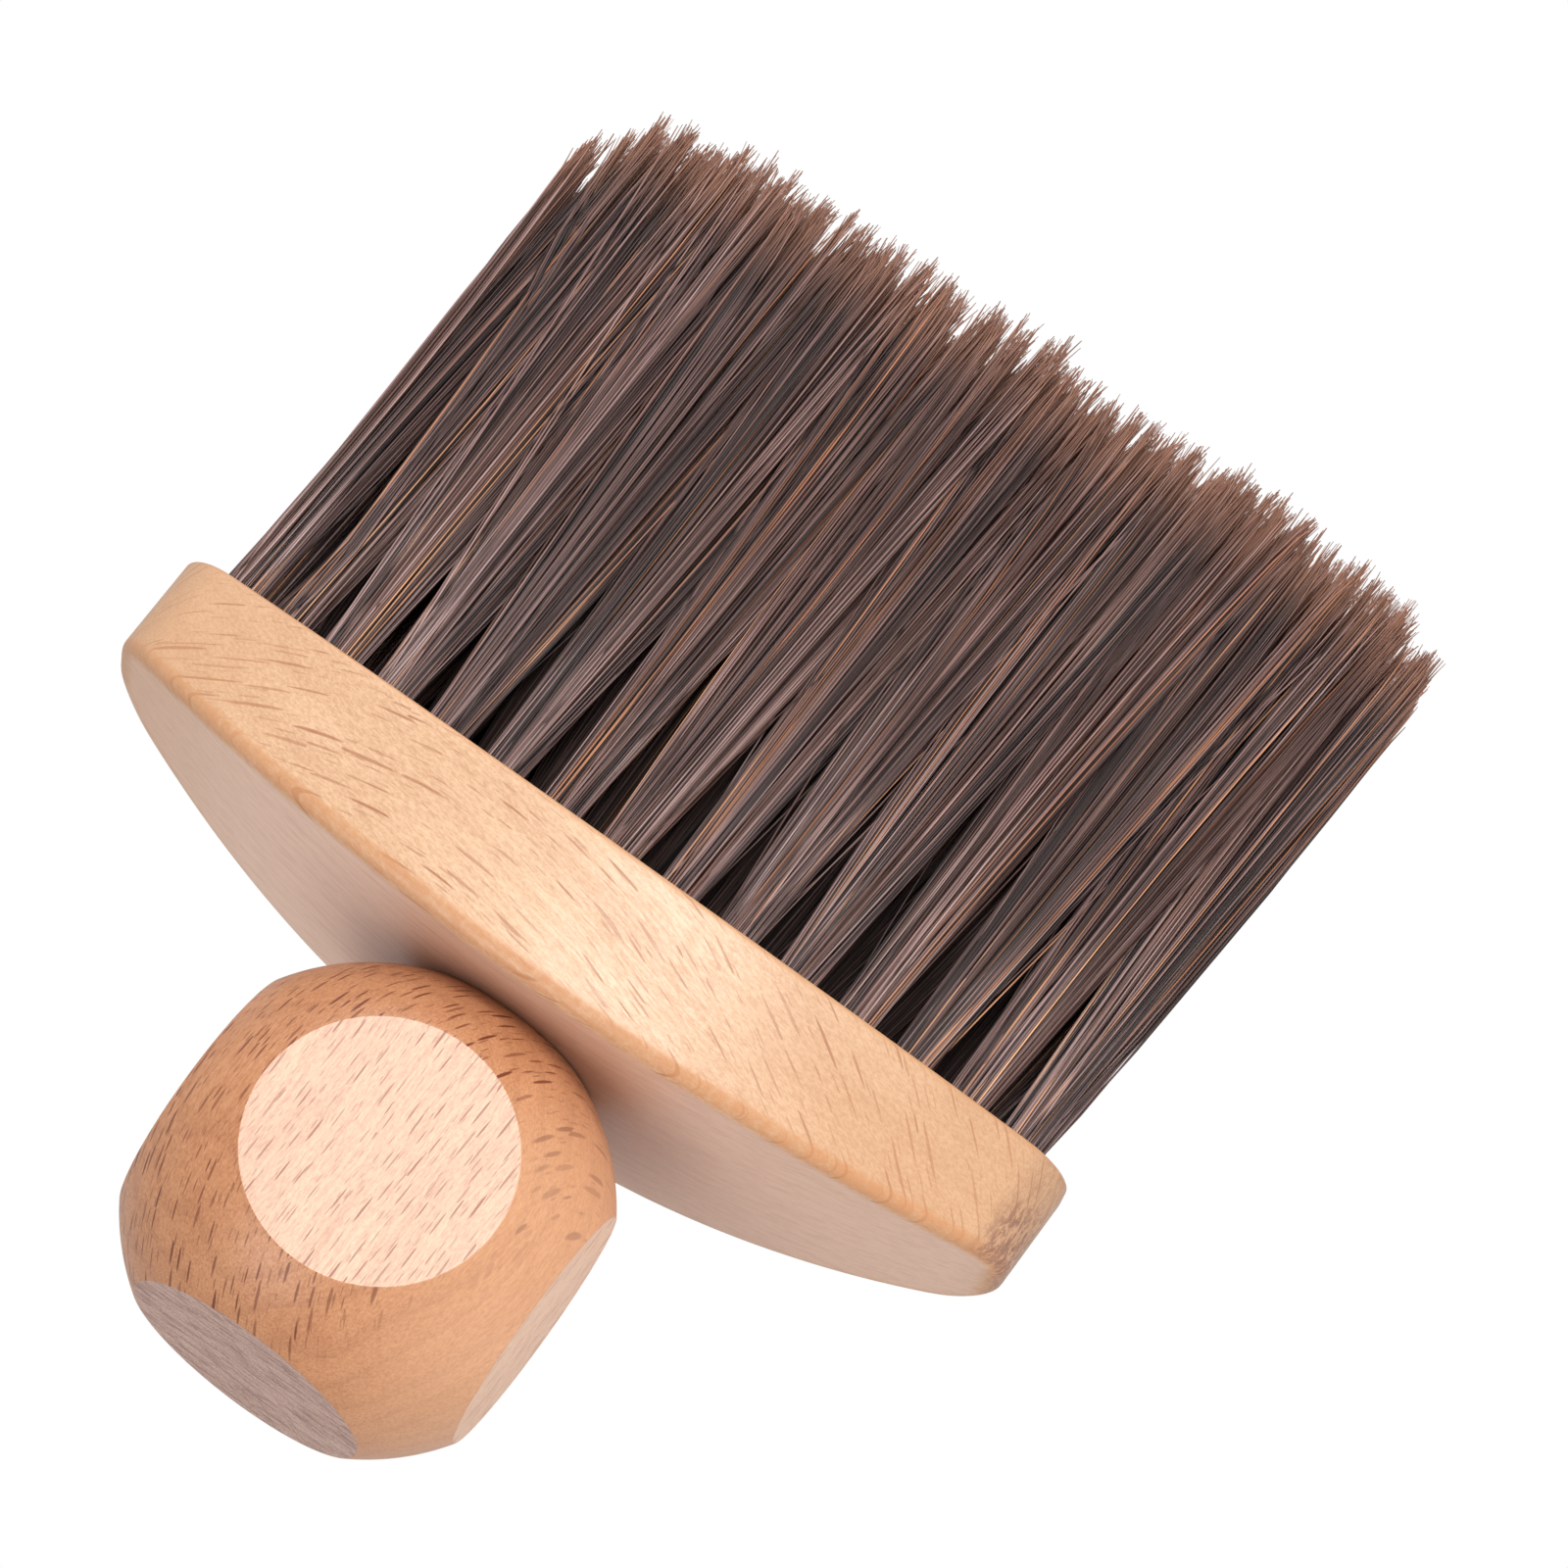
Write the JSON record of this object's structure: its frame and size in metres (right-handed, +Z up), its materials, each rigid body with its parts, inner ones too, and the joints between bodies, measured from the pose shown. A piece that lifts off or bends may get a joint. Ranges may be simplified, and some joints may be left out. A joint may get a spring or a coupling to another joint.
{
  "type": "neck duster brush",
  "caption": "Barber's neck duster: a beech ball knob doweled to an arched lens-shaped beech head with dark brown bristle tufts.",
  "frame": {"origin": "centre of the flat on the end of the ball knob, which the brush stands on", "axes": "+Z up from the knob through the head along the bristles; X is the head's long axis; -Y is the front of the brush"},
  "size_m": [0.1114, 0.0448, 0.1358],
  "materials": {
    "knob_beech": "beech, satin oiled ball with paler sanded flats and dull end grain",
    "head_beech": "pale beech with fine darker ray flecks, satin lacquer",
    "dowel_beech": "plain turned beech, glued",
    "bristle": "dark brown filament, slightly glossy, with some copper strands and frayed paler tips",
    "anchor_wire": "flat galvanised anchor wire"
  },
  "bodies": {
    "root": {"ball_knob": "knob_beech", "head_block": "head_beech", "joining_dowel": "dowel_beech", "tuft_front_01": "bristle", "tuft_front_02": "bristle", "tuft_front_03": "bristle", "tuft_front_04": "bristle", "tuft_front_05": "bristle", "tuft_front_06": "bristle", "tuft_front_07": "bristle", "tuft_front_08": "bristle", "tuft_front_09": "bristle", "tuft_front_10": "bristle", "tuft_front_11": "bristle", "tuft_front_12": "bristle", "tuft_front_13": "bristle", "tuft_front_14": "bristle", "tuft_front_15": "bristle", "tuft_front_inner_01": "bristle", "tuft_front_inner_02": "bristle", "tuft_front_inner_03": "bristle", "tuft_front_inner_04": "bristle", "tuft_front_inner_05": "bristle", "tuft_front_inner_06": "bristle", "tuft_front_inner_07": "bristle", "tuft_front_inner_08": "bristle", "tuft_front_inner_09": "bristle", "tuft_front_inner_10": "bristle", "tuft_centre_01": "bristle", "tuft_centre_02": "bristle", "tuft_centre_03": "bristle", "tuft_centre_04": "bristle", "tuft_centre_05": "bristle", "tuft_centre_06": "bristle", "tuft_centre_07": "bristle", "tuft_back_inner_01": "bristle", "tuft_back_inner_02": "bristle", "tuft_back_inner_03": "bristle", "tuft_back_inner_04": "bristle", "tuft_back_inner_05": "bristle", "tuft_back_inner_06": "bristle", "tuft_back_inner_07": "bristle", "tuft_back_inner_08": "bristle", "tuft_back_inner_09": "bristle", "tuft_back_inner_10": "bristle", "tuft_back_01": "bristle", "tuft_back_02": "bristle", "tuft_back_03": "bristle", "tuft_back_04": "bristle", "tuft_back_05": "bristle", "tuft_back_06": "bristle", "tuft_back_07": "bristle", "tuft_back_08": "bristle", "tuft_back_09": "bristle", "tuft_back_10": "bristle", "tuft_back_11": "bristle", "tuft_back_12": "bristle", "tuft_back_13": "bristle", "tuft_back_14": "bristle", "tuft_back_15": "bristle"}
  },
  "joints": []
}
